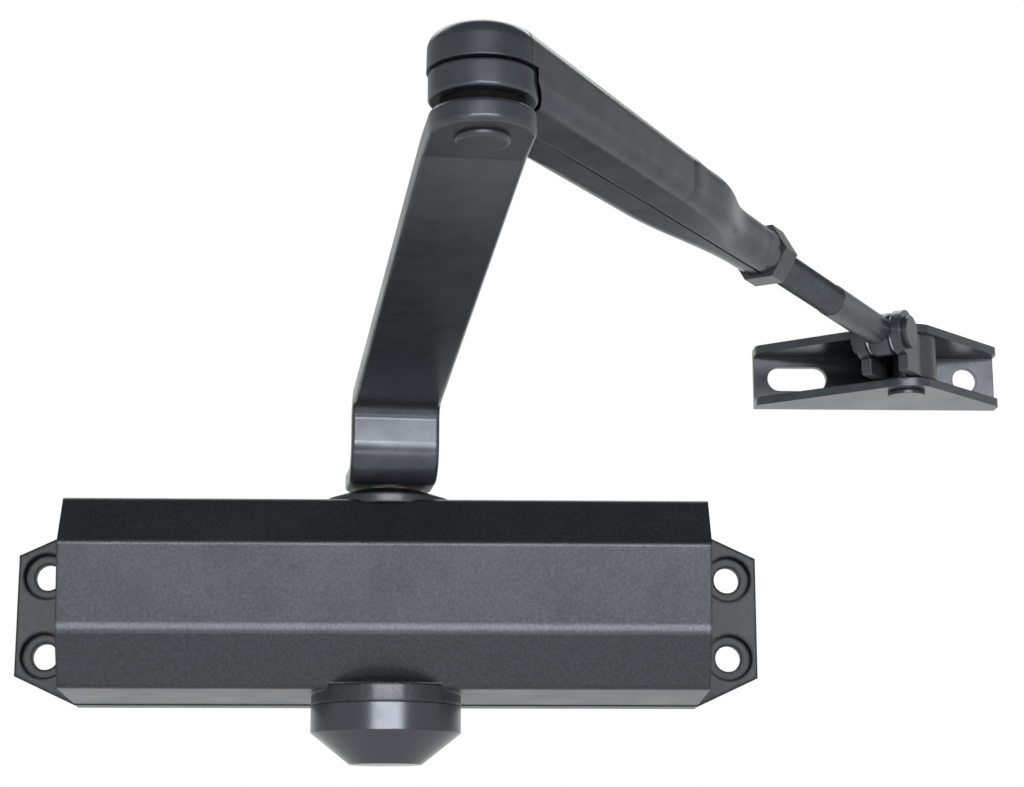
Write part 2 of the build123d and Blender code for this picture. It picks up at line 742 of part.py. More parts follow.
with BuildPart() as forearm_pressing:
    with BuildSketch(forearm_plane):
        RectangleRounded(pressing_width, pressing_thickness, pressing_round)
    with BuildSketch(along(pressing_taper_end)):
        RectangleRounded(pressing_end_width, pressing_end_thickness, pressing_round)
    loft(ruled=True)
    for step in range(neck_steps + 1):
        distance = pressing_taper_end + (neck_start - pressing_taper_end) * step / neck_steps
        front = side_draw * drawn_in(distance, front_shoulder_start, front_shoulder_end)
        back = side_draw * drawn_in(distance, pressing_taper_end, neck_start)
        share = drawn_in(distance, pressing_taper_end, neck_start)
        with BuildSketch(along(distance)):
            with Locations(((front - back) / 2, 0)):
                RectangleRounded(
                    pressing_end_width - front - back,
                    pressing_end_thickness + (neck_thickness - pressing_end_thickness) * share,
                    pressing_round + (neck_round - pressing_round) * share,
                )
    loft(ruled=False)
    with BuildSketch(along(neck_start)):
        RectangleRounded(neck_width, neck_thickness, neck_round)
    extrude(amount=pressing_length - neck_start)
    with BuildSketch(forearm_plane):
        RectangleRounded(pressing_width - head_step, pressing_thickness - head_step, pressing_round)
        with Locations((-pressing_width, 0)):
            Rectangle(2 * pressing_width, 2 * pressing_thickness, mode=Mode.SUBTRACT)
    revolve(axis=Axis(forearm_plane.origin, forearm_plane.y_dir))
    with BuildSketch(along(ring_radius + pressing_wall + ring_side_gap)):
        RectangleRounded(
            pressing_width - 2 * pressing_wall,
            pressing_thickness - 2 * pressing_wall,
            pressing_round - pressing_wall,
        )
    with BuildSketch(along(pressing_taper_end)):
        RectangleRounded(
            pressing_end_width - 2 * pressing_wall,
            pressing_end_thickness - 2 * pressing_wall,
            pressing_round - pressing_wall,
        )
    loft(ruled=True, mode=Mode.SUBTRACT)
    with BuildSketch(along(pressing_taper_end - 2 * rod_radius)):
        Circle(rod_radius + running_clearance)
    extrude(amount=pressing_length, mode=Mode.SUBTRACT)
    with BuildSketch(level(elbow, 0)):
        Circle(ring_radius + ring_side_gap)
    extrude(amount=ring_top + elbow_gap, mode=Mode.SUBTRACT)
    with BuildSketch(level(elbow, 0)):
        Circle(pin_radius + running_clearance)
    extrude(amount=2 * forearm_height_at_elbow, mode=Mode.SUBTRACT)
    with BuildSketch(level(elbow, head_seat)):
        Circle(top_rivet_radius + rivet_side_gap)
    extrude(amount=pressing_thickness, mode=Mode.SUBTRACT)
    with BuildSketch(underside):
        with Locations((seam_middle, seam_offset)):
            Rectangle(seam_length, seam_width, rotation=seam_lean)
    extrude(amount=-pressing_thickness, mode=Mode.SUBTRACT)
    with BuildSketch(underside.offset(-pressing_thickness / 2 + leaf_step)):
        with BuildLine():
            Polyline(
                (ring_radius, seam_start_offset),
                (pressing_taper_end, seam_offset),
                (pressing_taper_end, pressing_width),
                (ring_radius, pressing_width),
                close=True,
            )
        make_face()
    extrude(amount=-pressing_thickness, mode=Mode.SUBTRACT)
finish(forearm_pressing, "forearm_pressing")

# Adjusting rod: a threaded stretch, a plain stretch and a flattened eye
eye_side = eye_thickness / 2
plain_start = rod_start + rod_engagement + nut_thickness + thread_length
plain_end = rod_end - ear_radius - ear_gap
with BuildPart() as adjusting_rod:
    with BuildSketch(along(rod_start)):
        Circle(rod_radius)
    extrude(amount=rod_engagement + nut_thickness + thread_length)
    with BuildSketch(along(plain_start)):
        Circle(plain_rod_radius)
    extrude(amount=plain_end - plain_start)
    with BuildSketch(along(plain_end)):
        Circle(eye_neck_radius)
    extrude(amount=rod_end - eye_radius + eye_overlap - plain_end)
    with BuildSketch(pin_plane.offset(-eye_side)):
        Circle(eye_radius)
    extrude(amount=eye_thickness)
    with BuildSketch(pin_plane.offset(-eye_side)):
        Circle(stirrup_pin_radius + running_clearance)
    extrude(amount=eye_thickness, mode=Mode.SUBTRACT)
    rod_rims = adjusting_rod.edges().filter_by(GeomType.CIRCLE)
    chamfer(rod_rims.sort_by_distance(along(rod_start).origin)[0], rod_end_chamfer)
finish(adjusting_rod, "adjusting_rod")

with BuildPart() as lock_nut:
    with BuildSketch(along(pressing_length + nut_gap)):
        RegularPolygon(nut_width / 2, 6, major_radius=False)
        Circle(rod_radius + running_clearance, mode=Mode.SUBTRACT)
    extrude(amount=nut_thickness)
finish(lock_nut, "lock_nut")

# Stirrup: a strap folded round the shoe pin, with an ear on each side of the rod's eye
gap_half = eye_side + side_washer_thickness + eye_side_gap
outer_half = gap_half + stirrup_wall
shoe_floor = Plane(origin=(shoe_pivot.X, shoe_pivot.Y, shoe_bottom), x_dir=forearm_plan, z_dir=(0, 0, 1))
leg_length = stirrup_reach + 2 * ear_radius
barrel_low = shoe_middle - stirrup_half_height - forearm_height_at_shoe
barrel_high = shoe_middle + stirrup_half_height - forearm_height_at_shoe

with BuildPart() as stirrup:
    with BuildSketch(shoe_floor):
        Circle(barrel_radius)
        with Locations((-leg_length / 2, 0)):
            Rectangle(leg_length, 2 * outer_half)
        Circle(barrel_radius - stirrup_wall, mode=Mode.SUBTRACT)
        with Locations((-leg_length / 2, 0)):
            Rectangle(leg_length, 2 * gap_half, mode=Mode.SUBTRACT)
    extrude(amount=2 * shoe_height)
    with BuildSketch(pin_plane.offset(-2 * barrel_radius)):
        with BuildLine():
            Polyline(
                (stirrup_reach + 2 * barrel_radius, barrel_low),
                (0, barrel_low),
                (0, barrel_high),
                (stirrup_reach + 2 * barrel_radius, barrel_high),
                close=True,
            )
        make_face()
        Circle(ear_radius)
    extrude(amount=4 * barrel_radius, mode=Mode.INTERSECT)
    with BuildSketch(pin_plane.offset(-2 * barrel_radius)):
        Circle(stirrup_pin_radius + running_clearance)
    extrude(amount=4 * barrel_radius, mode=Mode.SUBTRACT)
finish(stirrup, "stirrup")

with BuildPart() as eye_washers:
    for start in (-eye_side - side_washer_thickness - eye_side_gap / 2, eye_side + eye_side_gap / 2):
        with BuildSketch(pin_plane.offset(start)):
            Circle(eye_radius - side_washer_inset)
            Circle(stirrup_pin_radius + running_clearance, mode=Mode.SUBTRACT)
        extrude(amount=side_washer_thickness)
finish(eye_washers, "eye_washers")

with BuildPart() as stirrup_pin:
    with BuildSketch(pin_plane.offset(-outer_half)):
        Circle(stirrup_pin_radius)
    extrude(amount=2 * outer_half)
    for start, direction in ((-outer_half, -1), (outer_half, 1)):
        with BuildSketch(pin_plane.offset(start)):
            Circle(stirrup_pin_radius + stirrup_pin_head_overhang)
        extrude(amount=direction * stirrup_pin_head_height)
finish(stirrup_pin, "stirrup_pin")

# Frame shoe: a channel with peaked flanges, one slot and one round hole in its back
peak = -shoe_pivot_depth
left_lean = math.atan2(shoe_pivot_depth - shoe_tip_depth, shoe_left)
right_lean = math.atan2(shoe_pivot_depth - shoe_tip_depth, shoe_right)
left_touch = (-shoe_nose_radius * math.sin(left_lean), peak - shoe_nose_radius * math.cos(left_lean))
right_touch = (shoe_nose_radius * math.sin(right_lean), peak - shoe_nose_radius * math.cos(right_lean))
shoe_back = Plane(origin=(shoe_pivot.X, 0, shoe_middle), x_dir=(1, 0, 0), z_dir=(0, -1, 0))

with BuildPart() as frame_shoe:
    with BuildSketch(Plane(origin=(shoe_pivot.X, 0, shoe_bottom))):
        with BuildLine():
            Line((-shoe_left, 0), (-shoe_left, -shoe_tip_depth))
            Line((-shoe_left, -shoe_tip_depth), left_touch)
            ThreePointArc(left_touch, (0, peak - shoe_nose_radius), right_touch)
            Line(right_touch, (shoe_right, -shoe_tip_depth))
            Line((shoe_right, -shoe_tip_depth), (shoe_right, 0))
            Line((shoe_right, 0), (-shoe_left, 0))
        make_face()
    extrude(amount=shoe_height)
    left_uprights = frame_shoe.edges().filter_by(Axis.Z).group_by(Axis.X)[0]
    fillet(left_uprights.sort_by(Axis.Y)[0], shoe_corner_round)
    right_uprights = frame_shoe.edges().filter_by(Axis.Z).group_by(Axis.X)[-1]
    fillet(right_uprights.sort_by(Axis.Y)[0], shoe_corner_round)
    with BuildSketch(shoe_back.offset(shoe_wall)):
        Rectangle(2 * (shoe_left + shoe_right), shoe_height - 2 * shoe_wall)
    extrude(amount=shoe_pivot_depth + 2 * shoe_nose_radius, mode=Mode.SUBTRACT)
    with BuildSketch(shoe_back):
        with Locations((shoe_hole_offset, 0)):
            Circle(shoe_hole_radius)
        with Locations((-shoe_slot_offset, 0)):
            SlotOverall(shoe_slot_length, 2 * shoe_hole_radius)
    extrude(amount=shoe_wall, mode=Mode.SUBTRACT)
    with BuildSketch(level(shoe_pivot, shoe_bottom)):
        Circle(shoe_pin_radius + running_clearance)
    extrude(amount=shoe_height, mode=Mode.SUBTRACT)
    bend_edges = frame_shoe.edges().filter_by(Axis.X).filter_by(lambda e: e.center().Y > -shoe_wall / 2)
    fillet(bend_edges.filter_by(lambda e: e.length > shoe_left), shoe_wall / 2)
finish(frame_shoe, "frame_shoe")

with BuildPart() as shoe_pin:
    with BuildSketch(level(shoe_pivot, shoe_bottom)):
        Circle(shoe_pin_radius)
    extrude(amount=shoe_height)
    for height, direction in ((shoe_bottom, -1), (shoe_top, 1)):
        with BuildSketch(level(shoe_pivot, height)):
            Circle(shoe_pin_head_radius)
        extrude(amount=direction * shoe_pin_head_height)
finish(shoe_pin, "shoe_pin")

with BuildPart() as shoe_washers:
    for height in (shoe_bottom + shoe_wall + washer_gap, shoe_middle + stirrup_half_height + washer_gap):
        with BuildSketch(level(shoe_pivot, height)):
            Circle(barrel_radius - washer_gap)
            Circle(shoe_pin_radius + running_clearance, mode=Mode.SUBTRACT)
        extrude(amount=shoe_height / 2 - shoe_wall - stirrup_half_height - 2 * washer_gap)
finish(shoe_washers, "shoe_washers")
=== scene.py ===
# %% [markdown]
# # A hydraulic door closer, dressed for its portrait
#
# The closer is a faceted cast body with a piston inside, a flat steel arm bent up at its heel, a folded
# sheet forearm, a threaded rod and a small pressed shoe for the door frame. The solids come from the packed
# model and stay as they are. This lesson gives each of them a finish that is built from nodes, draws the two
# things that are too fine for the solids, and sets up the light, the floor and the camera.

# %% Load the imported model
import json
import math

import bmesh
import bpy
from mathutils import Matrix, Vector


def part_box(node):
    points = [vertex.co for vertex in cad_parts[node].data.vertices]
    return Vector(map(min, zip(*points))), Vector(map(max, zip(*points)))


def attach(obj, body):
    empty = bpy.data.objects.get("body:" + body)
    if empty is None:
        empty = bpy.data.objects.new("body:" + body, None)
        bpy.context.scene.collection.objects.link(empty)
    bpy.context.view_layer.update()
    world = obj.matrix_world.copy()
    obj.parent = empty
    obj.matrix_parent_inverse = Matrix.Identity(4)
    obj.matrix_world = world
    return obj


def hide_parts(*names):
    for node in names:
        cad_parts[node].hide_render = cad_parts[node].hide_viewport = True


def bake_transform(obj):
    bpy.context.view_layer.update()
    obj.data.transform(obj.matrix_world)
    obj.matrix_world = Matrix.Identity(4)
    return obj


MM = 0.001
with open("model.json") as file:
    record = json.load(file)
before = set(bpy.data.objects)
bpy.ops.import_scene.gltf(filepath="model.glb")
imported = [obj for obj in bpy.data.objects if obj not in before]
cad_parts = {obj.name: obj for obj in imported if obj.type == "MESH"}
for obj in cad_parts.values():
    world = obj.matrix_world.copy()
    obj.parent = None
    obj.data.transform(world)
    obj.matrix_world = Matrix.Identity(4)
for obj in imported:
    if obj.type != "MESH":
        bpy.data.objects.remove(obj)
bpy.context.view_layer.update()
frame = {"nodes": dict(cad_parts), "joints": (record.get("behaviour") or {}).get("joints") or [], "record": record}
nodes = frame["nodes"]
joints = {joint["name"]: joint for joint in frame["joints"]}

# %% [markdown]
# ## Smooth where it is turned, crisp where it is cut
#
# The solids arrive as plain triangles. A turned or lofted face should shade as one smooth skin, but a milled
# corner should stay crisp. Blender can do both on one mesh: every face is marked smooth, and the edges that
# bend by more than a set angle are marked sharp. Only shading changes, so no point of a solid moves.

# %% Shade every solid by the angle of its edges
CRISP_ANGLE = math.radians(28)

for solid in nodes.values():
    solid.data.shade_smooth()
    solid.data.set_sharp_from_angle(angle=CRISP_ANGLE)
print("smoothed", len(nodes), "solids")

# %% [markdown]
# ## Colours as a maker names them
#
# Paint is chosen on a screen, as display values from 0 to 255, but a shader wants linear light. One
# small function turns the first into the second, so that every colour below can be read as it was picked.


# %% A colour picker's value as linear light
def shade(red, green, blue):
    """Linear RGBA of a display colour."""
    channels = [value / 255 for value in (red, green, blue)]
    linear = [c / 12.92 if c <= 0.04045 else ((c + 0.055) / 1.055) ** 2.4 for c in channels]
    return (*linear, 1.0)


def grey(level):
    """RGBA of a grey whose linear level is given."""
    return (level, level, level, 1)


print("mid grey in linear light", round(shade(128, 128, 128)[0], 3))

# %% [markdown]
# ## A small tool set for node trees
#
# A node tree is easier to read when it is written like arithmetic. The first helpers add one node each and
# pass its output on, so that a tree can be built from the inside out. A value may be a plain number or the
# output of another node, and feed tells the two apart.


# %% Single nodes
def add(tree, kind, **values):
    """A node of a kind, with its settings and the numbers of its sockets."""
    node = tree.nodes.new("ShaderNode" + kind)
    for name, value in values.items():
        if name in node.inputs:
            node.inputs[name].default_value = value
        else:
            setattr(node, name, value)
    return node


def feed(tree, socket, value):
    """A link where the value comes from a node, and a plain number otherwise."""
    if isinstance(value, bpy.types.NodeSocket):
        tree.links.new(value, socket)
    else:
        socket.default_value = value


def reckon(tree, operation, first, second=None):
    """One step of arithmetic on one value or two."""
    step = add(tree, "Math", operation=operation)
    feed(tree, step.inputs[0], first)
    if second is not None:
        feed(tree, step.inputs[1], second)
    return step.outputs[0]


def remap(tree, value, start, end, low=0.0, high=1.0, curve="LINEAR"):
    """A value that runs from start to end, turned into one that runs from low to high."""
    mapped = add(tree, "MapRange", interpolation_type=curve)
    feed(tree, mapped.inputs["Value"], value)
    feed(tree, mapped.inputs["From Min"], start)
    feed(tree, mapped.inputs["From Max"], end)
    feed(tree, mapped.inputs["To Min"], low)
    feed(tree, mapped.inputs["To Max"], high)
    return mapped.outputs["Result"]


def times_grey(tree, colour, share, level):
    """A colour that a grey multiplies where the share is one."""
    product = add(tree, "Mix", data_type="RGBA", blend_type="MULTIPLY")
    feed(tree, product.inputs["Factor"], share)
    tree.links.new(colour, product.inputs[6])
    product.inputs[7].default_value = grey(level)
    return product.outputs[2]


def mix_shaders(tree, share, first, second):
    """The second shader where the share is one, and the first, if any, where it is nought."""
    mixed = add(tree, "MixShader")
    tree.links.new(share, mixed.inputs["Fac"])
    if first is not None:
        tree.links.new(first, mixed.inputs[1])
    tree.links.new(second, mixed.inputs[2])
    return mixed.outputs[0]


print("single nodes ready")

# %% [markdown]
# ## Grain for every finish
#
# Each finish starts from a Principled shader and object coordinates, which are metres here, so a noise scale
# of 1000 has grains of about a millimetre. Roughness and bump come from the same kind of grain as the colour
# does, because on real paint one cause makes all three.

# %% Noise, tint, spread and bump
NOISE_LOW, NOISE_HIGH = 0.3, 0.7
EDGE_SOFTNESS = 0.35 * MM
EDGE_SAMPLES = 6


def new_material(name, roughness, metallic=0.0):
    """A material with one Principled shader, and its node tree and shader."""
    material = bpy.data.materials.new(name)
    material.use_nodes = True
    tree = material.node_tree
    shader = tree.nodes["Principled BSDF"]
    shader.inputs["Roughness"].default_value = roughness
    shader.inputs["Metallic"].default_value = metallic
    return material, tree, shader


def grain(tree, scale, detail=3.0, stretch=(1, 1, 1)):
    """A noise in object space, in grains per metre, drawn out along an axis by stretch."""
    place = add(tree, "TexCoord")
    mapping = add(tree, "Mapping", Scale=stretch)
    noise = add(tree, "TexNoise", Scale=scale, Detail=detail)
    tree.links.new(place.outputs["Object"], mapping.inputs["Vector"])
    tree.links.new(mapping.outputs["Vector"], noise.inputs["Vector"])
    return noise.outputs["Fac"]


def tint(tree, amount, dark, light, low=0.35, high=0.65):
    """A colour between two, by how high the grain stands."""
    ramp = add(tree, "ValToRGB")
    ramp.color_ramp.elements[0].position = low
    ramp.color_ramp.elements[1].position = high
    ramp.color_ramp.elements[0].color = dark
    ramp.color_ramp.elements[1].color = light
    tree.links.new(amount, ramp.inputs["Fac"])
    return ramp.outputs["Color"]


def spread(tree, amount, low, high):
    """A number between two, by how high the grain stands."""
    return remap(tree, amount, NOISE_LOW, NOISE_HIGH, low, high)


def soft_edges(tree, radius=EDGE_SOFTNESS):
    """The normal of an edge that is broken by a small radius, as paint leaves it."""
    return add(tree, "Bevel", samples=EDGE_SAMPLES, Radius=radius).outputs["Normal"]


def relief(tree, height, depth, normal=None):
    """A bump of a real depth in metres."""
    bump = add(tree, "Bump", Strength=1.0, Distance=depth)
    tree.links.new(height, bump.inputs["Height"])
    if normal is not None:
        tree.links.new(normal, bump.inputs["Normal"])
    return bump.outputs["Normal"]


print("grain ready")

# %% [markdown]
# ## Satin paint on the casting
#
# The body is die cast and painted anthracite. Its paint has a fine mottle: light flecks of half a millimetre
# over broader clouds. The flecks could be painted as an image, but a noise has no seams and keeps its scale
# on every face. A second, coarser noise changes how dull the paint is.

# %% Body paint
FLECK_DEPTH = 0.01 * MM
FLECK_LOW, FLECK_HIGH = 0.3, 0.72
CLOUD_GRAIN = 90
GLOSS_CHANGE = 0.05
RIDGE_SOFTNESS = 0.9 * MM


def mottled_paint(name, dark, light, roughness, metallic, fleck=1500, depth=FLECK_DEPTH, soft=EDGE_SOFTNESS):
    """Painted metal with fine metallic flecks and a slightly uneven gloss."""
    material, tree, shader = new_material(name, roughness, metallic=metallic)
    flecks = grain(tree, fleck, detail=2.0)
    gloss = spread(tree, grain(tree, CLOUD_GRAIN), roughness - GLOSS_CHANGE, roughness + GLOSS_CHANGE)
    tree.links.new(tint(tree, flecks, dark, light, FLECK_LOW, FLECK_HIGH), shader.inputs["Base Color"])
    tree.links.new(gloss, shader.inputs["Roughness"])
    tree.links.new(relief(tree, flecks, depth, normal=soft_edges(tree, soft)), shader.inputs["Normal"])
    return material


BODY_DARK, BODY_LIGHT = shade(41, 43, 47), shade(53, 56, 61)
body_paint = mottled_paint("body paint", BODY_DARK, BODY_LIGHT, 0.44, 0.8, soft=RIDGE_SOFTNESS)
print("made", body_paint.name)

# %% [markdown]
# ## Where the casting looks different
#
# Two parts of the casting don't share its look, and a mask in object space finds each. The screw lugs are
# duller and carry less of the clear coat, and their colour is darkened as painted shade, so that their upright
# faces don't show the front lamp too brightly. The ridge between the two front facets gets a painted highlight:
# a lighter band in its colour stands for the line of light it catches. A bevel could catch that line of light
# too, but the facets meet at a shallow angle, and its line comes out too thin. The band lies over the ridge and
# hardly under it, as in the picture.

# %% Duller lugs, darkened with painted shade
LUG_START = 74 * MM
LUG_PAINTED_SHADE, LUG_ROUGHNESS = 0.6, 0.62
COAT_ROUGHNESS, BODY_COAT, LUG_COAT = 0.14, 0.2, 0.07

tree = body_paint.node_tree
shader = tree.nodes["Principled BSDF"]
places = add(tree, "SeparateXYZ")
tree.links.new(add(tree, "TexCoord").outputs["Object"], places.inputs[0])
paint_colour = shader.inputs["Base Color"].links[0].from_socket
paint_gloss = shader.inputs["Roughness"].links[0].from_socket

on_lug = reckon(tree, "GREATER_THAN", reckon(tree, "ABSOLUTE", places.outputs["X"]), LUG_START)
# The lugs' colour is darkened here: painted shade on the upright lug faces.
lug_colour_with_painted_shade = times_grey(tree, paint_colour, on_lug, LUG_PAINTED_SHADE)
tree.links.new(remap(tree, on_lug, 0.0, 1.0, paint_gloss, LUG_ROUGHNESS), shader.inputs["Roughness"])
tree.links.new(remap(tree, on_lug, 0.0, 1.0, BODY_COAT, LUG_COAT), shader.inputs["Coat Weight"])
tree.links.new(soft_edges(tree, RIDGE_SOFTNESS), shader.inputs["Coat Normal"])
shader.inputs["Coat Roughness"].default_value = COAT_ROUGHNESS
print("lugs from", LUG_START, "m outward")

# %% A painted highlight along the ridge
RIDGE_HEIGHT, RIDGE_DEPTH = -5.5 * MM, -34 * MM
RIDGE_INNER, RIDGE_OUTER = 0.1 * MM, 1.2 * MM
PAINTED_HIGHLIGHT_GAIN = 2.6

from_ridge = reckon(tree, "ABSOLUTE", reckon(tree, "SUBTRACT", places.outputs["Z"], RIDGE_HEIGHT))
near_ridge = remap(tree, from_ridge, RIDGE_OUTER, RIDGE_INNER, curve="SMOOTHSTEP")
in_front = reckon(tree, "LESS_THAN", places.outputs["Y"], RIDGE_DEPTH)
ridge_highlight_mask = reckon(tree, "MULTIPLY", near_ridge, in_front)
# A lighter band in the colour along the ridge: a painted highlight.
tree.links.new(times_grey(tree, lug_colour_with_painted_shade, ridge_highlight_mask, PAINTED_HIGHLIGHT_GAIN), shader.inputs["Base Color"])
print("ridge at", RIDGE_HEIGHT, "m")

# %% [markdown]
# ## Smoother paint on the arms
#
# The arms, the pins and the shoe are pressed from steel strip and dipped. Their coat is thinner and has no
# flecks. It is a little cloudy, in patches of a few millimetres, and wider patches are glossier than others.
# The spacer in the elbow is drawn near black as painted shade, so the gap round it reads as a shadowed gap.

# %% Arm paint
ARM_CLOUDS, ARM_CLOUD_DEPTH = 240, 0.012 * MM
GLOSS_PATCHES = 60
GLOSSIEST, DULLEST = 0.24, 0.32

arm_paint, tree, shader = new_material("arm paint", 0.26, metallic=0.55)
clouds = grain(tree, ARM_CLOUDS, detail=4.0)
tree.links.new(tint(tree, clouds, shade(53, 56, 62), shade(62, 66, 72)), shader.inputs["Base Color"])
tree.links.new(spread(tree, grain(tree, GLOSS_PATCHES), GLOSSIEST, DULLEST), shader.inputs["Roughness"])
tree.links.new(relief(tree, clouds, ARM_CLOUD_DEPTH, normal=soft_edges(tree)), shader.inputs["Normal"])
print("made", arm_paint.name)

# %% The spacer, painted near black as the shade of the elbow gap
GAP_SHADE_SHINE = 0.1
GAP_SHADE_GRAIN, GAP_SHADE_DEPTH = 300, 0.02 * MM

# A near black colour for the spacer: painted shade for the gap round it.
gap_shade_steel, tree, shader = new_material("painted gap shade", 0.85)
shader.inputs["Specular IOR Level"].default_value = GAP_SHADE_SHINE
gap_shade_noise = grain(tree, GAP_SHADE_GRAIN)
tree.links.new(tint(tree, gap_shade_noise, shade(6, 6, 7), shade(14, 14, 15)), shader.inputs["Base Color"])
tree.links.new(relief(tree, gap_shade_noise, GAP_SHADE_DEPTH), shader.inputs["Normal"])
print("made", gap_shade_steel.name)

# %% [markdown]
# ## The moulded cap and the metal parts inside
#
# The bottom cap is moulded and has a finer, more metallic satin. Inside the body there are turned steel,
# bronze, an oiled spring and rubber rings. Turned steel shows rings round its axis, so its streaks are
# stretched across the turning axis. All of these finishes are seen when the model is taken apart.

# %% Cap, steels, bronze and rubber
CAP_FLECK, CAP_FLECK_DEPTH = 5200, 0.005 * MM
CAP_DARK, CAP_LIGHT = shade(62, 64, 69), shade(68, 71, 76)
TURNED_ROUND_Z = (0.1, 0.1, 1)
UNTURNED = (1, 1, 1)
TOOL_MARK_DEPTH = 0.01 * MM
TOOL_GLOSS_CHANGE = 0.08
DUST_GRAIN, DUST_DEPTH = 700, 0.01 * MM

cap_plastic = mottled_paint(
    "cap satin", CAP_DARK, CAP_LIGHT, 0.24, 0.85, fleck=CAP_FLECK, depth=CAP_FLECK_DEPTH
)


def bare_metal(name, dark, light, roughness, stretch, scale=1500):
    """Bare metal with fine tool marks in one direction."""
    material, tree, shader = new_material(name, roughness, metallic=1.0)
    marks = grain(tree, scale, stretch=stretch)
    gloss = spread(tree, marks, roughness - TOOL_GLOSS_CHANGE, roughness + TOOL_GLOSS_CHANGE)
    tree.links.new(tint(tree, marks, dark, light), shader.inputs["Base Color"])
    tree.links.new(gloss, shader.inputs["Roughness"])
    tree.links.new(relief(tree, marks, TOOL_MARK_DEPTH, normal=soft_edges(tree)), shader.inputs["Normal"])
    return material


turned_steel = bare_metal("turned steel", shade(150, 151, 154), shade(188, 189, 191), 0.3, TURNED_ROUND_Z)
zinc_steel = bare_metal("zinc plated steel", shade(140, 143, 146), shade(186, 189, 191), 0.36, UNTURNED, 500)
spring_steel = bare_metal("oiled spring steel", shade(70, 72, 76), shade(104, 106, 110), 0.26, UNTURNED, 700)
bearing_bronze = bare_metal("bearing bronze", shade(158, 112, 62), shade(196, 146, 88), 0.38, TURNED_ROUND_Z)

seal_rubber, tree, shader = new_material("seal rubber", 0.75)
dust = grain(tree, DUST_GRAIN)
tree.links.new(tint(tree, dust, shade(20, 20, 21), shade(34, 34, 35)), shader.inputs["Base Color"])
tree.links.new(relief(tree, dust, DUST_DEPTH), shader.inputs["Normal"])
print("metals and rubber made")

# %% [markdown]
# ## Every node takes its finish from its slot
#
# The record already says which slot each node belongs to, so one table from slot to material dresses all of
# them. A node that has no finish of its own would stop the script here. The spacer keeps its slot, and its
# look is changed to near black, as painted shade for the gap in the elbow.

# %% Dress the nodes
FINISH = {
    "body_paint": body_paint,
    "arm_paint": arm_paint,
    "cap_plastic": cap_plastic,
    "turned_steel": turned_steel,
    "zinc_steel": zinc_steel,
    "spring_steel": spring_steel,
    "bearing_bronze": bearing_bronze,
    "seal_rubber": seal_rubber,
}
for part in frame["record"]["subparts"]:
    for place in nodes[part["node"]].material_slots:
        place.material = FINISH[part["material_slot"]]
    print(part["node"], "->", part["material_slot"])
# The spacer gets the near black finish: painted shade in the elbow gap.
for place in nodes["elbow_spacer"].material_slots:
    place.material = gap_shade_steel
print("elbow_spacer shows", gap_shade_steel.name)

# %% [markdown]
# ## Meshes made of rings
#
# The rod and the spring are both drawn as rings of points that follow one another. A helper makes one ring
# round a centre, a second stretches a skin over a row of rings, and a third turns the result into an object.


# %% Rings, skins and pieces
def ring_of(mesh, centre, radii, way_a, way_b):
    """A closed ring of points round a centre, one for each radius."""
    ring = []
    for step, radius in enumerate(radii):
        angle = 2 * math.pi * step / len(radii)
        spoke = way_a * math.cos(angle) + way_b * math.sin(angle)
        ring.append(mesh.verts.new(centre + spoke * radius))
    return ring


def skin(mesh, rings, looped=False):
    """Quads between rings that follow one another. The two ends are joined when looped, or else capped."""
    pairs = list(zip(rings, rings[1:])) + ([(rings[-1], rings[0])] if looped else [])
    for first, second in pairs:
        for step in range(len(first)):
            after = (step + 1) % len(first)
            mesh.faces.new((first[step], first[after], second[after], second[step]))
    if not looped:
        mesh.faces.new(rings[0])
        mesh.faces.new(rings[-1])


def new_piece(name, mesh, finish, crisp=True):
    """An object from a finished mesh, smooth apart from its crisp edges."""
    bmesh.ops.recalc_face_normals(mesh, faces=mesh.faces)
    data = bpy.data.meshes.new(name)
    mesh.to_mesh(data)
    mesh.free()
    data.shade_smooth()
    if crisp:
        data.set_sharp_from_angle(angle=CRISP_ANGLE)
    data.materials.append(finish)
    piece = bpy.data.objects.new(name, data)
    bpy.context.scene.collection.objects.link(piece)
    return piece


print("ring tools ready")

# %% [markdown]
# ## A rod with a real thread
#
# The solid of the rod is plain, because a cut thread is slow to build and to tell apart. Here it gets its
# ridges. A thread could be a bump, but it shows on the rod's outline, so it is a mesh. Every point of a long
# tube has a turn and a distance along the axis, and its radius follows from how far it stands from the root
# of the groove. The tube runs on as the plain stretch and the thin neck, and a ring makes the eye.

# %% The rod's frame and its radius along the axis
EYE = Vector(joints["stirrup_tilt"]["pos_m"])
ROD_WAY = Vector(joints["rod_adjust"]["axis"]).normalized()
PIN_WAY = Vector(joints["stirrup_tilt"]["axis"]).normalized()
SIDE_WAY = ROD_WAY.cross(PIN_WAY).normalized()
THREAD_LENGTH = 57.5 * MM
THREAD_RADIUS, THREAD_DEPTH, THREAD_PITCH = 3.45 * MM, 0.42 * MM, 1.25 * MM
FLANK_STEEPNESS = 2.4
END_CHAMFER, END_CHAMFER_LENGTH = 0.5 * MM, 0.8 * MM
PLAIN_RADIUS, NECK_RADIUS = 3.6 * MM, 3.0 * MM
EAR_REACH = 5.9 * MM

rod_points = nodes["adjusting_rod"].data.vertices
far_end = max((Vector(point.co) - EYE).dot(-ROD_WAY) for point in rod_points)
thread_end = far_end - THREAD_LENGTH
print("rod reaches", round(far_end / MM, 2), "mm back from its eye")


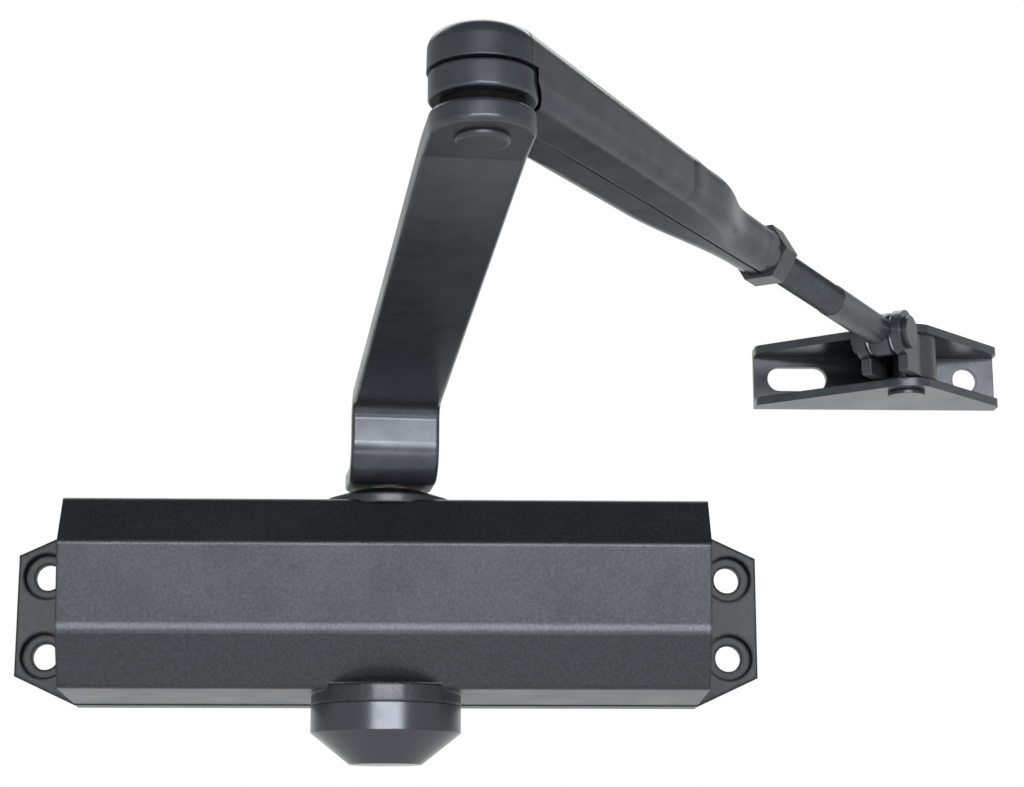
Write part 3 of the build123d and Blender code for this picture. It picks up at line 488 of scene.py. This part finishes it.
def rod_radius(back, turn):
    """The radius at a distance back from the eye, at a turn from 0 to 1 round the axis."""
    if back < EAR_REACH:
        return NECK_RADIUS
    if back < thread_end:
        return PLAIN_RADIUS
    from_root = abs((back / THREAD_PITCH + turn) % 1.0 - 0.5)
    groove = THREAD_DEPTH * (1 - min(1.0, FLANK_STEEPNESS * from_root))
    fade = min(1.0, (back - thread_end) / THREAD_PITCH, (far_end - back) / THREAD_PITCH)
    chamfer = END_CHAMFER * max(0.0, 1 - (far_end - back) / END_CHAMFER_LENGTH)
    return THREAD_RADIUS - groove * fade - chamfer


# %% The tube and the eye
TURN_STEPS = 40
RINGS_PER_PITCH = 8
TUBE_START = 4.0 * MM
STEP_LENGTH = 0.01 * MM
EYE_RADIUS, EYE_BORE = 5.0 * MM, 2.55 * MM
HALF_EYE, EYE_LIP = 2.5 * MM, 0.4 * MM

stations = [TUBE_START, EAR_REACH - STEP_LENGTH, EAR_REACH, thread_end - STEP_LENGTH]
thread_steps = int(THREAD_LENGTH / (THREAD_PITCH / RINGS_PER_PITCH))
stations += [far_end - THREAD_LENGTH * (1 - step / thread_steps) for step in range(thread_steps + 1)]
eye_profile = [
    (EYE_BORE, -HALF_EYE),
    (EYE_RADIUS - EYE_LIP, -HALF_EYE),
    (EYE_RADIUS, EYE_LIP - HALF_EYE),
    (EYE_RADIUS, HALF_EYE - EYE_LIP),
    (EYE_RADIUS - EYE_LIP, HALF_EYE),
    (EYE_BORE, HALF_EYE),
]

rod_mesh = bmesh.new()
tube = []
for back in stations:
    radii = [rod_radius(back, step / TURN_STEPS) for step in range(TURN_STEPS)]
    tube.append(ring_of(rod_mesh, EYE - ROD_WAY * back, radii, PIN_WAY, SIDE_WAY))
skin(rod_mesh, tube)
eye_rings = []
for radius, sideways in eye_profile:
    radii = [radius] * TURN_STEPS
    eye_rings.append(ring_of(rod_mesh, EYE + PIN_WAY * sideways, radii, ROD_WAY, SIDE_WAY))
skin(rod_mesh, eye_rings, looped=True)
threaded_rod = new_piece("threaded_rod", rod_mesh, arm_paint)
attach(threaded_rod, "rod")
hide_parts("adjusting_rod")
print("threaded rod", len(threaded_rod.data.polygons), "faces")

# %% [markdown]
# ## A spring wound from wire
#
# The closing spring sits between its seat and the piston, and the piston presses it together as the arm
# turns. A stiff solid can't do that. Here the wire is swept round a helix as a mesh of its own, over the
# length of the solid's box. The ends are wound close and flat, as spring makers do it. The wire is drawn a
# trifle thinner than the solid's, so that the close turns at the ends don't run into each other.

# %% The wire's path, from the solid's own box
SOLID_WIRE_RADIUS, WIRE_RADIUS = 1.4 * MM, 1.35 * MM
SPRING_TURNS, DEAD_TURNS = 6.5, 0.8
DEAD_PITCH = 2.1 * WIRE_RADIUS

low_corner, high_corner = [Vector(corner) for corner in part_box("closing_spring")]
spring_middle = (low_corner + high_corner) / 2
coil_radius = (high_corner.z - low_corner.z) / 2 - SOLID_WIRE_RADIUS
foot_x, tip_x = low_corner.x + SOLID_WIRE_RADIUS, high_corner.x - SOLID_WIRE_RADIUS
all_turns = SPRING_TURNS + 2 * DEAD_TURNS
dead_share = DEAD_TURNS / all_turns


def wire_point(share):
    """A point of the wire's middle line, at a share of the spring's turns."""
    angle = 2 * math.pi * all_turns * share
    live = min(1.0, max(0.0, (share - dead_share) / (1 - 2 * dead_share)))
    dead = (min(share, dead_share) + max(0.0, share - 1 + dead_share)) / dead_share
    span = tip_x - foot_x - 2 * DEAD_PITCH * DEAD_TURNS
    along = Vector((foot_x + DEAD_PITCH * DEAD_TURNS * dead + span * live, spring_middle.y, spring_middle.z))
    return along + Vector((0, math.cos(angle), math.sin(angle))) * coil_radius


print("spring from", round(foot_x / MM, 1), "to", round(tip_x / MM, 1), "mm")

# %% The wire itself
SPRING_STEPS, WIRE_STEPS = 240, 12
TANGENT_SHARE = 0.001

wire_mesh = bmesh.new()
wire_rings = []
for step in range(SPRING_STEPS + 1):
    share = step / SPRING_STEPS
    middle = wire_point(share)
    before, after = max(0.0, share - TANGENT_SHARE), min(1.0, share + TANGENT_SHARE)
    onward = (wire_point(after) - wire_point(before)).normalized()
    outward = Vector((0, middle.y - spring_middle.y, middle.z - spring_middle.z)).normalized()
    across = onward.cross(outward).normalized()
    wire_rings.append(ring_of(wire_mesh, middle, [WIRE_RADIUS] * WIRE_STEPS, outward, across))
skin(wire_mesh, wire_rings)
coil_spring = new_piece("coil_spring", wire_mesh, spring_steel, crisp=False)
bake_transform(coil_spring)
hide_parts("closing_spring")
print("coil spring", len(coil_spring.data.polygons), "faces")

# %% [markdown]
# ## The floor and the white background
#
# The closer is shown as it hangs on a door, seen from a little below, so a pale floor lies well under it and
# out of the picture. Light Path tells the kinds of ray apart. The camera sees a pure white background, rays
# that a glossy surface sends on see a bright surround, and plain light is at a lower level. For both of these
# the ceiling is dim, because in the picture next to nothing lights the closer from above. Far out, the floor
# turns as white as the background, so that no edge of it shows in a view from above.


# %% Which rays see the white
def seeing_rays(tree):
    """One for a ray from the camera or on from gloss or glass, and nought for plain light."""
    rays = add(tree, "LightPath")
    seen = rays.outputs["Is Camera Ray"]
    for kind in ("Is Glossy Ray", "Is Transmission Ray"):
        seen = reckon(tree, "MAXIMUM", seen, rays.outputs[kind])
    return seen


print("rays told apart")

# %% Floor
FLOOR_DROP = 0.45
HALF_FLOOR = 3.0
FLOOR_GRAIN = 40
FLOOR_DARK, FLOOR_LIGHT = grey(0.78), grey(0.82)
FLOOR_GLOW = 0.6
WHITE_FROM, WHITE_AT = 0.3, 0.9

floor_mesh = bpy.data.meshes.new("floor")
floor_corners = [(x * HALF_FLOOR, y * HALF_FLOOR, 0) for x, y in ((-1, -1), (1, -1), (1, 1), (-1, 1))]
floor_mesh.from_pydata(floor_corners, [], [(0, 1, 2, 3)])
floor = bpy.data.objects.new("floor", floor_mesh)
floor.location.z = -FLOOR_DROP
bpy.context.scene.collection.objects.link(floor)

floor_paper, tree, shader = new_material("floor paper", 0.9)
paper = tint(tree, grain(tree, FLOOR_GRAIN), FLOOR_DARK, FLOOR_LIGHT)
tree.links.new(paper, shader.inputs["Base Color"])
glow = add(tree, "Emission", Strength=FLOOR_GLOW).outputs[0]
lit_paper = add(tree, "AddShader")
tree.links.new(shader.outputs[0], lit_paper.inputs[0])
tree.links.new(mix_shaders(tree, seeing_rays(tree), None, glow), lit_paper.inputs[1])

from_middle = add(tree, "VectorMath", operation="LENGTH")
tree.links.new(add(tree, "TexCoord").outputs["Object"], from_middle.inputs[0])
far_out = remap(tree, from_middle.outputs["Value"], WHITE_FROM, WHITE_AT, curve="SMOOTHSTEP")
outside_and_seen = reckon(tree, "MULTIPLY", far_out, seeing_rays(tree))
plain_white = add(tree, "Emission", Strength=1.0).outputs[0]
fading = mix_shaders(tree, outside_and_seen, lit_paper.outputs[0], plain_white)
tree.links.new(fading, tree.nodes["Material Output"].inputs["Surface"])
floor.data.materials.append(floor_paper)
print("floor at", floor.location.z)

# %% White to the camera, plain light to the object
PLAIN_LEVEL, GLOSS_LEVEL = 0.42, 1.0
CEILING_FROM, CEILING_AT, CEILING_SHARE = 0.12, 0.6, 0.14

world = bpy.data.worlds.new("studio")
bpy.context.scene.world = world
world.use_nodes = True
tree = world.node_tree
ways = add(tree, "SeparateXYZ")
tree.links.new(add(tree, "TexCoord").outputs["Generated"], ways.inputs[0])


def sky(level):
    """Light of a level from around and below, that fades to a dim ceiling."""
    light = add(tree, "Background", Color=grey(1))
    ceiling = level * CEILING_SHARE
    strength = remap(tree, ways.outputs["Z"], CEILING_FROM, CEILING_AT, level, ceiling, "SMOOTHSTEP")
    tree.links.new(strength, light.inputs["Strength"])
    return light.outputs[0]


white = add(tree, "Background", Color=grey(1), Strength=1.0).outputs[0]
surround = mix_shaders(tree, seeing_rays(tree), sky(PLAIN_LEVEL), sky(GLOSS_LEVEL))
from_camera = add(tree, "LightPath").outputs["Is Camera Ray"]
background = mix_shaders(tree, from_camera, surround, white)
tree.links.new(background, tree.nodes["World Output"].inputs["Surface"])
print("world level", PLAIN_LEVEL)

# %% [markdown]
# ## Lamps
#
# The picture has soft light in front and hardly any from above: the upper bevel is the darkest face, the heel
# of the arm has a bright band, and the ridge across the body catches a line of light. A mirror test tells
# where such a light stands. The heel is upright and is seen from a little below, so its band shows a lamp a
# few degrees up. The ridge leans back under itself, so its line shows a second lamp, low in front. Both are
# long and flat, and even along the body. A third lamp stands high behind the closer: the picture shows none
# of its light, but without it the top and the back would be black in a view from behind.

# %% Area lamps
AIM = Vector((0.0, -0.08, 0.02))


def strip_lamp(name, distance, bearing, elevation, width, height, power):
    """A flat area lamp that faces the closer, at a bearing and an elevation in degrees seen from it."""
    turn, tilt = math.radians(bearing), math.radians(elevation)
    way = Vector((math.sin(turn) * math.cos(tilt), -math.cos(turn) * math.cos(tilt), math.sin(tilt)))
    data = bpy.data.lights.new(name, "AREA")
    data.shape = "RECTANGLE"
    data.size, data.size_y = width, height
    data.energy = power
    lamp = bpy.data.objects.new(name, data)
    lamp.location = AIM + way * distance
    lamp.rotation_euler = (-way).to_track_quat("-Z", "Y").to_euler()
    lamp.visible_camera = False
    bpy.context.scene.collection.objects.link(lamp)


strip_lamp("heel lamp", distance=1.4, bearing=4, elevation=6, width=1.2, height=0.2, power=20)
strip_lamp("ridge lamp", distance=0.9, bearing=0, elevation=-25, width=1.3, height=0.06, power=2.5)
strip_lamp("back lamp", distance=1.4, bearing=180, elevation=55, width=2.0, height=0.8, power=16)
print("lamps", [light.name for light in bpy.data.lights])

# %% [markdown]
# ## The camera
#
# The camera stands half a metre in front of the closer and below it, and looks up by twelve degrees. Its
# place and lens follow from how the hole pattern and the body's edges lie in the picture.

# %% Camera
CAMERA_PLACE = (12.3 * MM, -520 * MM, -55 * MM)
LOOK_UP = 12.07
LOOK_RIGHT = 1.93
LENS = 75.27
SENSOR_WIDTH = 36.0
NEAREST_SEEN = 0.01

camera_data = bpy.data.cameras.new("camera")
camera_data.lens = LENS
camera_data.sensor_width = SENSOR_WIDTH
camera_data.sensor_fit = "HORIZONTAL"
camera_data.clip_start = NEAREST_SEEN
camera = bpy.data.objects.new("camera", camera_data)
camera.location = CAMERA_PLACE
camera.rotation_euler = (math.radians(90 + LOOK_UP), 0, math.radians(-LOOK_RIGHT))
bpy.context.scene.collection.objects.link(camera)
bpy.context.scene.camera = camera
bpy.context.scene.view_settings.view_transform = "Standard"
print("camera at", CAMERA_PLACE)
